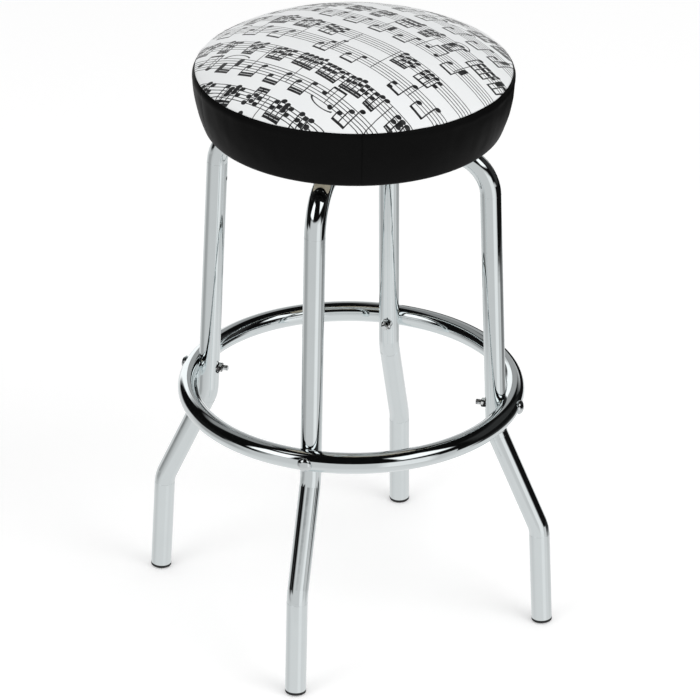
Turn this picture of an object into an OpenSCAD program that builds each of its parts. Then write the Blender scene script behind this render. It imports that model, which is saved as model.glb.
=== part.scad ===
// Swivel bar stool: a round upholstered seat on a ball-bearing swivel plate,
// four bent chrome-plated tube legs and a tube foot ring bolted outside them.
// The origin is on the floor below the middle of the seat, and +Z is up.
// The legs stand along +X (right), +Y (back), -X (left) and -Y (front).

/* [Tube] */
// Outside diameter of the leg tubes
tube_d = 25.4; // [19:0.1:30]
// Outside diameter of the foot ring's tube
ring_tube_d = 25.4; // [19:0.1:30]
// Wall of the tubes
tube_wall = 1.5; // [1:0.1:2.2]

/* [Legs] */
// Height of the top line of the leg tubes above the floor
frame_h = 634.7; // [560:0.1:700]
// Radius of the circle on which the feet stand
foot_r = 247; // [225:1:270]
// Radius at which a leg turns down towards its foot
foot_bend_r = 240.1; // [225:0.1:255]
// Height of that bend above the floor
foot_bend_z = 129.9; // [90:0.1:150]
// Radius at which a leg turns outwards below the foot ring
ring_bend_r = 182.8; // [170:0.1:195]
// Height of that bend above the floor
ring_bend_z = 257.5; // [230:0.1:290]
// Radius at which the upright run meets the level run under the seat
shoulder_r = 166.6; // [155:0.1:175]
// Bend radius of the shoulder, on the tube's axis
shoulder_bend = 53; // [45:1:66]
// Bend radius of the two lower bends, on the tube's axis
lower_bend = 45; // [38:1:60]
// Radius at which a leg's level run ends near the middle
leg_tip_r = 26; // [22:1:30]
// Diameter of the plating vent hole in each leg
vent_d = 5; // [3:0.5:7]
// Distance of the vent hole below the top line of the tubes
vent_drop = 84; // [75:1:110]

/* [Foot ring] */
// Height of the ring's axis above the bend that lies below it
ring_rise = 35.5; // [22:0.1:40]
// Depth to which each leg nests into the ring's inner side
ring_nest = 7.6; // [3:0.1:8]
// Depth of the dimple under each bolt head
head_dimple = 2.2; // [1:0.1:3]
// Radius of the punch that presses the dimple
dimple_punch_r = 26; // [20:1:40]
// Depth of the flat pressed into a leg behind each nut
nut_dimple = 2.6; // [1:0.1:3]

/* [Feet] */
// Diameter of the domed metal glide
glide_d = 22; // [18:0.5:24]
// Height from the floor to the widest line of the glide
glide_h = 3; // [2.5:0.1:5]
// Thickness of the plastic rim between glide and tube
glide_rim_t = 2; // [1.5:0.1:4]
// Length of the plastic plug inside the tube
glide_plug_l = 18; // [12:1:30]
// Diameter of the glide's stem
glide_stem_d = 6; // [4:0.5:8]

/* [Swivel] */
// Width of the two square swivel plates
plate_w = 178; // [172:1:190]
// Thickness of the plates
plate_t = 2.5; // [2:0.1:3]
// Corner radius of the plates
plate_corner_r = 12; // [6:1:16]
// Height of the whole swivel, outside to outside
swivel_h = 15.6; // [15:0.1:18]
// Radius of the ball track
race_r = 59; // [57:0.5:60.5]
// Half the width of the pressed track
race_w = 6; // [5:0.1:6.5]
// Diameter of the balls
ball_d = 6.35; // [5:0.01:7]
// Number of balls
ball_count = 24; // [12:1:28]
// Thickness of the ball cage
cage_t = 1.2; // [0.8:0.1:1.6]
// Diameter of the pivot rivet
pivot_d = 12; // [10:0.5:16]
// Diameter of the hole through the pivot rivet
pivot_bore_d = 8; // [5:0.5:9]
// Distance between the seat screws, along each side
seat_hole_span = 152; // [146:1:154]
// Diameter of the tool hole in the lower plate
tool_hole_d = 14; // [12:0.5:16]

/* [Seat] */
// Diameter of the seat at its widest
seat_d = 381; // [365:1:400]
// Distance by which the side draws in from its widest line to the roll under it
seat_taper = 12.5; // [8:0.5:16]
// Lean of the side from upright where it rolls under
side_lean = 22; // [15:1:30]
// Radius of the soft roll round the seat's lower edge
roll_r = 9; // [7:0.5:10]
// Height of the seam above the underside of the seat board
seam_rise = 65.7; // [50:0.1:85]
// Rise of the crown above the seam
crown_h = 44; // [25:0.1:60]
// Depth of the crease at the seam
seam_inset = 3; // [1:0.1:5]
// Thickness of the vinyl cover
cover_t = 1.2; // [0.8:0.1:1.6]
// Thickness of the seat board
board_t = 12; // [9:0.5:18]
// Rounding of the seat board's lower rim
board_round = 2.5; // [1:0.5:4]
// Width of the board's rim that the band's hem covers from below
hem_w = 17; // [14:1:24]
// Number of staples in the hem
staple_count = 28; // [16:1:40]

/* [Fasteners] */
// Diameter of the foot ring bolts
ring_bolt_d = 6.35; // [5:0.05:8]
// Diameter of their domed heads
dome_d = 15; // [12:0.1:17]
// Height of their domed heads
dome_h = 3.6; // [2:0.1:5]
// Distance across the flats of the ring nuts
ring_nut_af = 11.1; // [10:0.1:13]
// Height of the ring nuts
ring_nut_h = 5.5; // [4:0.1:7]
// Length of bolt standing out of the ring nuts
ring_bolt_tip = 7; // [2:0.5:10]
// Diameter of the lock washers
lock_washer_d = 12.2; // [11:0.1:14]
// Thickness of the lock washers
lock_washer_t = 1.4; // [0.8:0.1:2]
// Diameter of the leg bolts and of the seat screws
leg_bolt_d = 6; // [5:0.5:7]
// Radius of the inner leg bolts
leg_bolt_in_r = 40; // [38:0.5:41]
// Radius of the outer leg bolts
leg_bolt_out_r = 80; // [77:0.5:81]
// Distance across the flats of the leg bolts' heads and nuts
leg_nut_af = 10; // [9:0.1:11]
// Height of the leg nuts and bolt heads
leg_nut_h = 4.5; // [3.5:0.1:5]
// Length of bolt standing out of the leg nuts
leg_bolt_tip = 1.5; // [0.5:0.1:2]
// Diameter of the leg washers
leg_washer_d = 12; // [11:0.1:14]
// Thickness of the leg washers
leg_washer_t = 1.2; // [0.8:0.1:2]
// Diameter of the seat screws' heads
screw_head_d = 11; // [9:0.1:12]
// Height of the seat screws' heads
screw_head_h = 3.4; // [2.5:0.1:4]
// Diameter of the tee nuts' flanges
tee_flange_d = 19; // [16:0.5:22]
// Thickness of the tee nuts' flanges
tee_flange_t = 1.2; // [0.8:0.1:1.6]
// Outside diameter of the tee nuts' barrels
tee_barrel_d = 8; // [7.6:0.1:9]

/* [Hidden] */
$fn = 96;

// Clearances: faces that meet, bolts in their holes, and the turning pivot in its plate
touch_gap = 0.1;
bolt_gap = 0.3;
pivot_gap = 0.08;
ball_gap = 0.2;
turn_gap = 0.4;
// Overrun of cuts past the faces that they open
overrun = 1;
// A bend draws the tube in a little, and each straight run laps into the bend that it meets
bend_slim = 0.1;
bend_lap = 0.5;

// Directions of the legs, and how far each is turned from +X
side_count = 4;
right_turn = 0;
back_turn = 90;
left_turn = 180;
front_turn = 270;

// A leg's axis as points of radius and height, from foot to tip
tube_r = tube_d / 2;
top_line_z = frame_h - tube_r;
floor_point = [foot_r, 0];
foot_bend_point = [foot_bend_r, foot_bend_z];
ring_bend_point = [ring_bend_r, ring_bend_z];
shoulder_point = [shoulder_r, top_line_z];
foot_dir = unit(foot_bend_point - floor_point);
foot_h = glide_h + glide_rim_t + touch_gap;
leg_axis = [floor_point + foot_dir * foot_h, foot_bend_point, ring_bend_point, shoulder_point,
    [leg_tip_r, top_line_z]];
leg_bends = [0, lower_bend, lower_bend, shoulder_bend, 0];

// The foot ring: its height, and its radius from how far the legs nest into it
ring_z = ring_bend_z + ring_rise;
ring_tube_r = ring_tube_d / 2;
upright_share = (ring_z - ring_bend_z) / (top_line_z - ring_bend_z);
leg_r_at_ring = ring_bend_r + (shoulder_r - ring_bend_r) * upright_share;
ring_r = leg_r_at_ring + tube_r + ring_tube_r - ring_nest;
vent_z = frame_h - vent_drop;

// Places along a ring bolt, as distances from the stool's axis
head_seat_r = ring_r + ring_tube_r - head_dimple;
dome_face_r = head_seat_r + cap_height(dimple_punch_r, dome_d / 2) + touch_gap;
neck_l = dome_face_r - head_seat_r + tube_wall + touch_gap;
nut_flat_r = leg_r_at_ring - tube_r + nut_dimple;
nut_flat_d = ring_nut_af / cos(180 / 6) + tube_wall * 2;
washer_r = nut_flat_r - touch_gap - lock_washer_t;
ring_nut_r = washer_r - touch_gap - ring_nut_h;
ring_bolt_end_r = ring_nut_r - ring_bolt_tip;

// Heights of the swivel and the seat
plate_z = frame_h + touch_gap;
board_z = plate_z + swivel_h + touch_gap;
board_top_z = board_z + board_t;
seam_z = board_z + seam_rise;
ball_z = swivel_h / 2;
track_top = ball_z - ball_d / 2 + plate_t * 0.36;
track_rise = track_top - plate_t;
ramp_w = plate_t;
track_out_r = race_r + race_w + ramp_w;
rivet_flange_t = plate_t * 0.6;
rivet_flange_r = pivot_d * 0.9;
hub_r = rivet_flange_r + ramp_w;
hub_drop = rivet_flange_t + turn_gap * 2;

// Outlines of the seat
seam_r = seat_d / 2 - seam_inset;
base_r = seat_d / 2 - seat_taper;
crown_power = 2.6;
crease_share = 0.13;

// The roll under the seat's edge is level with the board's underside, and the rim stands over it
roll_axis = [base_r - roll_r * cos(side_lean), board_z];
roll_end = 150;
grip_share = 0.7;
board_r = roll_axis[0] - roll_r * grip_share;
hem_r = board_r - hem_w;
side_h = seam_z - board_z + roll_r * sin(side_lean);
side_power = side_h * tan(side_lean) / seat_taper;
foam_inset = cover_t + touch_gap;
foam_rim_r = board_r + touch_gap;
band_steps = 18;
crown_steps = 20;
roll_steps = 9;
edge_steps = 6;

// Staples, seen from below: crown width, wire and leg length
staple_w = board_t * 0.8;
staple_wire = cover_t * 0.6;
staple_leg = board_t * 0.5;

function unit(v) = v / norm(v);
function cap_height(ball_r, chord_r) = ball_r - sqrt(ball_r * ball_r - chord_r * chord_r);
function run_dir(path, i) = unit(path[i + 1] - path[i]);
function turn_at(path, i) =
    let (u = run_dir(path, i - 1), v = run_dir(path, i))
    atan2(u[0] * v[1] - u[1] * v[0], u * v);
function trim_at(path, bends, i) = bends[i] * tan(abs(turn_at(path, i)) / 2);

// Radius, height and lean of the side band at a share of the way down from the seam to the roll
function band_r(share) =
    seat_d / 2
    - seat_taper * pow(share, side_power)
    - seam_inset * pow(max(0, 1 - share / crease_share), 2);
function band_z(share) = seam_z - side_h * share;
function band_lean(share) = atan(tan(side_lean) * pow(share, side_power - 1));
function share_at(z) = (seam_z - z) / side_h;
function crown_z(r) = seam_z + crown_h * (1 - pow(r / seam_r, crown_power));

// Points of the band's side between two shares, and of the roll below it, set in from the outer face
function band_side(inset, first_share, last_share) = [
    for (i = [0 : band_steps])
        let (share = first_share + (last_share - first_share) * i / band_steps)
        [band_r(share) - inset * cos(band_lean(share)), band_z(share) + inset * sin(band_lean(share))]
];
function roll_point(inset, a) = roll_axis + (roll_r - inset) * [cos(a), -sin(a)];
function band_roll(inset, last_turn) = [
    for (i = [1 : roll_steps])
        roll_point(inset, side_lean + (last_turn - side_lean) * i / roll_steps)
];

// Where the band, leaving the roll straight on, reaches a height under the board
function hem_corner(inset, z) =
    let (p = roll_point(inset, roll_end))
    [p[0] - (z - p[1]) * tan(180 - roll_end), z];
function reversed(list) = [for (i = [len(list) - 1 : -1 : 0]) list[i]];
function crown_line(drop, rim_r) = [
    for (i = [0 : crown_steps])
        let (r = rim_r * (1 - pow(i / crown_steps, 1.5)))
        [r, crown_z(r) - drop]
];

// A round bar along an axis of radius and height points, drawn in the XZ plane
module bent_rod(path, bends, r, ends = 0) {
    last = len(path) - 2;
    for (i = [0 : last]) {
        dir = run_dir(path, i);
        from = path[i] + dir * (i == 0 ? -ends : trim_at(path, bends, i) - bend_lap);
        to = path[i + 1] - dir * (i == last ? -ends : trim_at(path, bends, i + 1) - bend_lap);
        translate([from[0], 0, from[1]])
            rotate([0, atan2(dir[0], dir[1]), 0])
                cylinder(h = norm(to - from), r = r);
    }
    for (i = [1 : last])
        elbow(path, bends, i, r);
}

// One bend of that bar
module elbow(path, bends, i, r) {
    u = run_dir(path, i - 1);
    v = run_dir(path, i);
    turn = turn_at(path, i);
    side = turn > 0 ? [-u[1], u[0]] : [u[1], -u[0]];
    centre = path[i] - u * trim_at(path, bends, i) + side * bends[i];
    start = turn > 0 ? atan2(u[1], u[0]) - 90 : atan2(v[1], v[0]) + 90;
    translate([centre[0], 0, centre[1]])
        rotate([90, 0, 0])
            rotate([0, 0, start])
                rotate_extrude(angle = abs(turn))
                    translate([bends[i], 0])
                        circle(r = r - bend_slim);
}

// Children on the radial axis of a ring bolt: their own Z is the distance from the stool's axis
module on_bolt_axis(turn) {
    rotate([0, 0, turn])
        translate([0, 0, ring_z])
            rotate([0, 90, 0])
                children();
}

module at_each_leg() {
    for (i = [0 : side_count - 1])
        rotate([0, 0, i * 360 / side_count])
            children();
}

module at_leg_bolts() {
    at_each_leg()
        for (r = [leg_bolt_in_r, leg_bolt_out_r])
            translate([r, 0, 0])
                children();
}

module at_seat_screws() {
    for (x = [-1, 1], y = [-1, 1])
        translate([x * seat_hole_span / 2, y * seat_hole_span / 2, 0])
            children();
}

// A hexagon body with both rims turned off
module hex_body(af, h) {
    corner_d = af / cos(180 / 6);
    rim = (corner_d - af) / 2;
    intersection() {
        cylinder(d = corner_d, h = h, $fn = 6);
        rotate_extrude()
            polygon([[0, 0], [af / 2, 0], [corner_d / 2, rim], [corner_d / 2, h - rim], [af / 2, h], [0, h]]);
    }
}

module hex_nut(af, h, bore_d) {
    difference() {
        hex_body(af, h);
        translate([0, 0, -overrun])
            cylinder(d = bore_d, h = h + overrun * 2);
    }
}

module washer(d, t, bore_d) {
    difference() {
        cylinder(d = d, h = t);
        translate([0, 0, -overrun])
            cylinder(d = bore_d, h = t + overrun * 2);
    }
}

// A dome of a ball, with its flat side down at height 0
module dome(d, h) {
    ball_r = (d * d / 4 + h * h) / (h * 2);
    intersection() {
        translate([0, 0, h - ball_r])
            sphere(r = ball_r);
        cylinder(d = d, h = h);
    }
}

// Legs
module nut_flat(grow) {
    on_bolt_axis(0)
        translate([0, 0, nut_flat_r - tube_r])
            cylinder(d = nut_flat_d + grow * 2, h = tube_r + grow);
}

module leg(turn) {
    hole_d = leg_bolt_d + bolt_gap * 2;
    rotate([0, 0, turn])
        difference() {
            bent_rod(leg_axis, leg_bends, tube_r);
            nut_flat(0);
            difference() {
                bent_rod(leg_axis, leg_bends, tube_r - tube_wall, overrun);
                nut_flat(tube_wall);
            }
            on_bolt_axis(0)
                translate([0, 0, leg_r_at_ring - tube_d])
                    cylinder(d = ring_bolt_d + bolt_gap * 2, h = tube_d * 2);
            for (r = [leg_bolt_in_r, leg_bolt_out_r])
                translate([r, 0, frame_h - tube_d - overrun])
                    cylinder(d = hole_d, h = tube_d + overrun * 2);
            translate([shoulder_r - tube_d, 0, vent_z])
                rotate([0, 90, 0])
                    cylinder(d = vent_d, h = tube_d);
        }
}

module leg_front() { color("gainsboro") leg(front_turn); }
module leg_right() { color("gainsboro") leg(right_turn); }
module leg_back() { color("gainsboro") leg(back_turn); }
module leg_left() { color("gainsboro") leg(left_turn); }

// Foot ring, pressed in where each leg nests and under each bolt head
module ring_bar(r) {
    translate([0, 0, ring_z])
        rotate_extrude()
            translate([ring_r, 0])
                circle(r = r);
}

module ring_presses(grow) {
    at_each_leg()
        bent_rod(leg_axis, leg_bends, tube_r + touch_gap + grow);
    for (i = [0 : side_count - 1])
        on_bolt_axis(i * 360 / side_count)
            translate([0, 0, head_seat_r + dimple_punch_r])
                sphere(r = dimple_punch_r + grow);
}

module foot_ring() {
    neck_hole = ring_bolt_d + bolt_gap * 2;
    color("gainsboro")
        difference() {
            ring_bar(ring_tube_r);
            ring_presses(0);
            difference() {
                ring_bar(ring_tube_r - tube_wall);
                ring_presses(tube_wall);
            }
            for (i = [0 : side_count - 1])
                on_bolt_axis(i * 360 / side_count) {
                    translate([0, 0, ring_r - ring_tube_d])
                        cylinder(d = neck_hole, h = ring_tube_d);
                    translate([-neck_hole / 2, -neck_hole / 2, ring_r])
                        cube([neck_hole, neck_hole, ring_tube_d]);
                }
        }
}

module ring_bolt() {
    translate([0, 0, dome_face_r])
        dome(dome_d, dome_h);
    translate([-ring_bolt_d / 2, -ring_bolt_d / 2, dome_face_r - neck_l])
        cube([ring_bolt_d, ring_bolt_d, neck_l]);
    translate([0, 0, ring_bolt_end_r])
        cylinder(d = ring_bolt_d, h = dome_face_r - neck_l - ring_bolt_end_r);
}

module ring_bolts() {
    color("silver")
        for (i = [0 : side_count - 1])
            on_bolt_axis(i * 360 / side_count)
                ring_bolt();
}

module ring_lock_washers() {
    color("silver")
        for (i = [0 : side_count - 1])
            on_bolt_axis(i * 360 / side_count)
                translate([0, 0, washer_r])
                    washer(lock_washer_d, lock_washer_t, ring_bolt_d + touch_gap * 2);
}

module ring_nuts() {
    color("silver")
        for (i = [0 : side_count - 1])
            on_bolt_axis(i * 360 / side_count)
                translate([0, 0, ring_nut_r])
                    hex_nut(ring_nut_af, ring_nut_h, ring_bolt_d + touch_gap * 2);
}

// Feet
module on_foot(turn) {
    rotate([0, 0, turn])
        translate([foot_r, 0, 0])
            rotate([0, atan2(foot_dir[0], foot_dir[1]), 0])
                children();
}

module glide_plug(turn) {
    on_foot(turn)
        difference() {
            union() {
                translate([0, 0, glide_h])
                    cylinder(d = tube_d, h = glide_rim_t);
                translate([0, 0, glide_h])
                    cylinder(r = tube_r - tube_wall - touch_gap, h = glide_rim_t + glide_plug_l);
            }
            translate([0, 0, glide_h - overrun])
                cylinder(d = glide_stem_d + touch_gap * 2, h = glide_rim_t + glide_plug_l + overrun * 2);
        }
}

module glide(turn) {
    flat_share = 0.2;
    intersection() {
        on_foot(turn) {
            translate([0, 0, glide_h - touch_gap])
                mirror([0, 0, 1])
                    dome(glide_d, glide_h * (1 + flat_share));
            translate([0, 0, glide_h - touch_gap * 2])
                cylinder(d = glide_stem_d, h = glide_rim_t + glide_plug_l * 0.7);
        }
        translate([-foot_r * 2, -foot_r * 2, 0])
            cube([foot_r * 4, foot_r * 4, frame_h]);
    }
}

module glide_plug_front() { color("dimgray") glide_plug(front_turn); }
module glide_plug_right() { color("dimgray") glide_plug(right_turn); }
module glide_plug_back() { color("dimgray") glide_plug(back_turn); }
module glide_plug_left() { color("dimgray") glide_plug(left_turn); }
module glide_front() { color("silver") glide(front_turn); }
module glide_right() { color("silver") glide(right_turn); }
module glide_back() { color("silver") glide(back_turn); }
module glide_left() { color("silver") glide(left_turn); }

// Swivel: two pressed plates, a ring of caged balls and a hollow pivot rivet
module square_plate() {
    inner = plate_w - plate_corner_r * 2;
    linear_extrude(height = plate_t)
        difference() {
            union() {
                square([plate_w, inner], center = true);
                square([inner, plate_w], center = true);
                for (x = [-1, 1], y = [-1, 1])
                    translate([x * inner / 2, y * inner / 2])
                        circle(r = plate_corner_r);
            }
            circle(r = track_out_r);
        }
}

// Half section of a plate's pressed middle: hub, then ball track
function pressed_line(hub_rise, hole_r) = [
    [hole_r, hub_rise], [hub_r, hub_rise], [hub_r + ramp_w, 0],
    [race_r - race_w - ramp_w, 0], [race_r - race_w, track_rise],
    [race_r + race_w, track_rise], [track_out_r, 0], [track_out_r + ramp_w, 0]
];

module pressed_plate(hub_rise, hole_r) {
    low = pressed_line(hub_rise, hole_r);
    high = [for (p = reversed(low)) p + [0, plate_t]];
    difference() {
        union() {
            square_plate();
            rotate_extrude()
                polygon(concat(low, high));
        }
        translate([0, 0, ball_z])
            rotate_extrude()
                translate([race_r, 0])
                    circle(r = ball_d / 2 + ball_gap);
    }
}

module swivel_bottom_plate() {
    color("darkgray")
        translate([0, 0, plate_z])
            difference() {
                pressed_plate(0, pivot_d / 2 + touch_gap);
                at_leg_bolts()
                    translate([0, 0, -overrun])
                        cylinder(d = leg_bolt_d + bolt_gap * 2, h = plate_t + overrun * 2);
                translate([seat_hole_span / 2, seat_hole_span / 2, -overrun])
                    cylinder(d = tool_hole_d, h = plate_t + overrun * 2);
            }
}

module swivel_top_plate() {
    color("darkgray")
        translate([0, 0, board_z - touch_gap])
            mirror([0, 0, 1])
                difference() {
                    pressed_plate(hub_drop, pivot_d / 2 + pivot_gap);
                    at_seat_screws()
                        translate([0, 0, -overrun])
                            cylinder(d = leg_bolt_d + bolt_gap * 2, h = plate_t + overrun * 2);
                }
}

module bearing_balls() {
    color("white")
        for (i = [0 : ball_count - 1])
            rotate([0, 0, i * 360 / ball_count])
                translate([race_r, 0, plate_z + ball_z])
                    sphere(d = ball_d);
}

module ball_cage() {
    cage_w = race_w * 0.9;
    color("goldenrod")
        translate([0, 0, plate_z + ball_z - cage_t / 2])
            difference() {
                cylinder(r = race_r + cage_w, h = cage_t);
                translate([0, 0, -overrun])
                    cylinder(r = race_r - cage_w, h = cage_t + overrun * 2);
                for (i = [0 : ball_count - 1])
                    rotate([0, 0, i * 360 / ball_count])
                        translate([race_r, 0, -overrun])
                            cylinder(d = ball_d + ball_gap * 2, h = cage_t + overrun * 2);
            }
}

module pivot_rivet() {
    shank_top = board_z - touch_gap - hub_drop + turn_gap;
    color("silver")
        difference() {
            union() {
                translate([0, 0, plate_z - touch_gap - rivet_flange_t])
                    cylinder(r = rivet_flange_r, h = rivet_flange_t);
                translate([0, 0, plate_z - touch_gap - rivet_flange_t])
                    cylinder(d = pivot_d, h = shank_top - plate_z + touch_gap + rivet_flange_t * 2);
                translate([0, 0, shank_top])
                    cylinder(r = rivet_flange_r, h = rivet_flange_t);
            }
            translate([0, 0, plate_z - rivet_flange_t - touch_gap - overrun])
                cylinder(d = pivot_bore_d, h = swivel_h + overrun * 2 + rivet_flange_t * 2);
        }
}

module leg_bolts() {
    head_z = frame_h - tube_d - leg_washer_t - touch_gap * 2;
    end_z = plate_z + plate_t + touch_gap + leg_nut_h + leg_bolt_tip;
    color("silver")
        at_leg_bolts() {
            translate([0, 0, head_z - leg_nut_h])
                hex_body(leg_nut_af, leg_nut_h);
            translate([0, 0, head_z - leg_nut_h / 2])
                cylinder(d = leg_bolt_d, h = end_z - head_z + leg_nut_h / 2);
        }
}

module leg_washers() {
    color("silver")
        at_leg_bolts()
            translate([0, 0, frame_h - tube_d - leg_washer_t - touch_gap])
                washer(leg_washer_d, leg_washer_t, leg_bolt_d + touch_gap * 2);
}

module leg_nuts() {
    color("silver")
        at_leg_bolts()
            translate([0, 0, plate_z + plate_t + touch_gap])
                hex_nut(leg_nut_af, leg_nut_h, leg_bolt_d + touch_gap * 2);
}

// Seat
module seat_screws() {
    head_z = board_z - plate_t - touch_gap * 2;
    color("silver")
        at_seat_screws() {
            translate([0, 0, head_z])
                mirror([0, 0, 1])
                    dome(screw_head_d, screw_head_h);
            translate([0, 0, head_z - screw_head_h / 2])
                cylinder(d = leg_bolt_d, h = screw_head_h / 2 + plate_t + board_t);
        }
}

module tee_nuts() {
    barrel_h = board_t * 0.8;
    color("silver")
        at_seat_screws()
            difference() {
                union() {
                    translate([0, 0, board_top_z + touch_gap])
                        cylinder(d = tee_flange_d, h = tee_flange_t);
                    translate([0, 0, board_top_z - barrel_h])
                        cylinder(d = tee_barrel_d, h = barrel_h + tee_flange_t);
                }
                translate([0, 0, board_top_z - barrel_h - overrun])
                    cylinder(d = leg_bolt_d + touch_gap * 2, h = board_t + tee_flange_t + overrun);
            }
}

module seat_board() {
    arc = [
        for (i = [0 : edge_steps])
            let (a = 90 * i / edge_steps)
            [board_r - board_round + board_round * cos(a), board_z + board_round - board_round * sin(a)]
    ];
    color("burlywood")
        difference() {
            rotate_extrude()
                polygon(concat([[0, board_top_z], [board_r, board_top_z]], arc, [[0, board_z]]));
            at_seat_screws()
                translate([0, 0, board_z - overrun])
                    cylinder(d = tee_barrel_d + touch_gap * 2, h = board_t + overrun * 2);
        }
}

module seat_side_band() {
    hem_low = board_z - cover_t;
    hem_top = board_z - touch_gap;
    inset = cover_t - touch_gap;
    color("black")
        rotate_extrude()
            polygon(concat(
                band_side(0, 0, 1), band_roll(0, roll_end), [hem_corner(0, hem_low), [hem_r, hem_low]],
                [[hem_r, hem_top], hem_corner(inset, hem_top)], reversed(band_roll(inset, roll_end)),
                reversed(band_side(inset, 0, 1))
            ));
}

module seat_top_panel() {
    rim_r = seam_r - cover_t - touch_gap;
    color("white")
        rotate_extrude()
            polygon(concat(crown_line(0, rim_r), reversed(crown_line(cover_t, rim_r))));
}

module seat_foam() {
    foam_z = board_top_z + touch_gap / 2;
    side = band_side(foam_inset, crease_share / 4, share_at(foam_z));
    rim_r = seam_r - cover_t * 2;
    color("khaki")
        difference() {
            rotate_extrude()
                polygon(concat([[0, foam_z], [side[band_steps][0], foam_z]],
                    reversed(side), crown_line(foam_inset, rim_r)));
            at_seat_screws()
                translate([0, 0, board_top_z - overrun])
                    cylinder(d = tee_flange_d + touch_gap * 4, h = overrun + tee_flange_t + touch_gap * 3);
        }
}

module seat_edge_foam() {
    side = band_side(foam_inset, share_at(board_top_z - foam_inset), 1);
    roll_stop = acos((foam_rim_r - roll_axis[0]) / (roll_r - foam_inset));
    color("khaki")
        rotate_extrude()
            polygon(concat([[foam_rim_r, board_top_z], [side[0][0], board_top_z]],
                side, band_roll(foam_inset, roll_stop)));
}

module cover_staples() {
    crown_z0 = board_z - cover_t - touch_gap - staple_wire;
    color("silver")
        for (i = [0 : staple_count - 1])
            rotate([0, 0, (i + 1 / 2) * 360 / staple_count])
                translate([hem_r + hem_w * 0.35, staple_w / 2, crown_z0])
                    rotate([90, 0, 0])
                        rotate([0, 90, 0])
                            translate([-staple_w, 0, -staple_wire / 2])
                                linear_extrude(height = staple_wire)
                                    difference() {
                                        square([staple_w, staple_leg]);
                                        translate([staple_wire, staple_wire])
                                            square([staple_w - staple_wire * 2, staple_leg]);
                                    }
}

seat_top_panel();
seat_side_band();
seat_foam();
seat_edge_foam();
seat_board();
cover_staples();
tee_nuts();
seat_screws();
swivel_top_plate();
bearing_balls();
ball_cage();
pivot_rivet();
swivel_bottom_plate();
leg_front();
leg_right();
leg_back();
leg_left();
foot_ring();
ring_bolts();
ring_lock_washers();
ring_nuts();
leg_bolts();
leg_washers();
leg_nuts();
glide_plug_front();
glide_plug_right();
glide_plug_back();
glide_plug_left();
glide_front();
glide_right();
glide_back();
glide_left();
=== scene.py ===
# %% [markdown]
# # A swivel bar stool with a printed seat
# The stool has a round padded seat on a swivel plate, four bent chrome legs and a chrome foot ring.
# The packed CAD model is the fixed frame of this scene. It is loaded first.

# %% Load the frame
import math
import bmesh
import bpy
from mathutils import Matrix, Vector, kdtree, noise


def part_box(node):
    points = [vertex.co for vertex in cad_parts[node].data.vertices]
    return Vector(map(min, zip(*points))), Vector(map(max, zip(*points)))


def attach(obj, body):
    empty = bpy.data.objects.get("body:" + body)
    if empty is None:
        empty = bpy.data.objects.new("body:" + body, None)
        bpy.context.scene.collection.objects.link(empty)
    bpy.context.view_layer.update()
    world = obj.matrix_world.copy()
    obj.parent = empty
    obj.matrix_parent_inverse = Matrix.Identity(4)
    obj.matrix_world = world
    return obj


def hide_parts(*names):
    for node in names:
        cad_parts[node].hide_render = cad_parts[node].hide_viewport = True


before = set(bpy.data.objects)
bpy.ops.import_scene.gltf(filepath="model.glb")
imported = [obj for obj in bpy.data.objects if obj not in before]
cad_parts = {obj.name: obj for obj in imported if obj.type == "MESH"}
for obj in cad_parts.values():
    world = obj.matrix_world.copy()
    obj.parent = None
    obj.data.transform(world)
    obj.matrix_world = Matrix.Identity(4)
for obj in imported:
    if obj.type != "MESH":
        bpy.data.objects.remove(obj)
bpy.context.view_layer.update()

# %% Put things into the scene
def put(name, data):
    """A new object at the origin, neither turned nor scaled."""
    thing = bpy.data.objects.new(name, data)
    bpy.context.scene.collection.objects.link(thing)
    return thing


def put_mesh(name, points, edges=(), faces=()):
    mesh = bpy.data.meshes.new(name)
    mesh.from_pydata(points, edges, faces)
    return put(name, mesh)


print("adding to", bpy.context.scene.name)

# %% [markdown]
# ## Camera
# The camera was fitted to the feet, bends and rims that the photograph shows. A long lens from
# nearly five metres away keeps the legs almost parallel, as they are in the picture.

# %% Place the camera
CAMERA_AT = Vector((1.2116, -4.5258, 2.7661))
CAMERA_HEADING = math.radians(105.01)
CAMERA_PITCH = math.radians(27.371)
CAMERA_ROLL = math.radians(0.483)
CAMERA_LENS = 223.06
SENSOR_WIDTH = 36
SHORTEST_VIEW, LONGEST_VIEW = 0.1, 60


def make_camera():
    level = Vector((math.cos(CAMERA_HEADING), math.sin(CAMERA_HEADING), 0))
    ahead = level * math.cos(CAMERA_PITCH) - Vector((0, 0, math.sin(CAMERA_PITCH)))
    right = ahead.cross(Vector((0, 0, 1))).normalized()
    up = right.cross(ahead)
    tilt_right = right * math.cos(CAMERA_ROLL) + up * math.sin(CAMERA_ROLL)
    tilt_up = up * math.cos(CAMERA_ROLL) - right * math.sin(CAMERA_ROLL)
    data = bpy.data.cameras.new("camera")
    data.lens, data.sensor_width = CAMERA_LENS, SENSOR_WIDTH
    data.clip_start, data.clip_end = SHORTEST_VIEW, LONGEST_VIEW
    camera = put("camera", data)
    turn = Matrix((tilt_right, tilt_up, -ahead)).transposed().to_4x4()
    camera.matrix_world = Matrix.Translation(CAMERA_AT) @ turn
    bpy.context.scene.camera = camera
    return camera


camera = make_camera()
print("camera at", tuple(round(v, 3) for v in camera.location))

# %% [markdown]
# ## Formulas in nodes
# Patterns and light maps are formulas, and a formula is hard to read as loose nodes. A Wire
# wraps one output socket and can be added, multiplied and compared, and each operation adds
# one Math node behind it.

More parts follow.
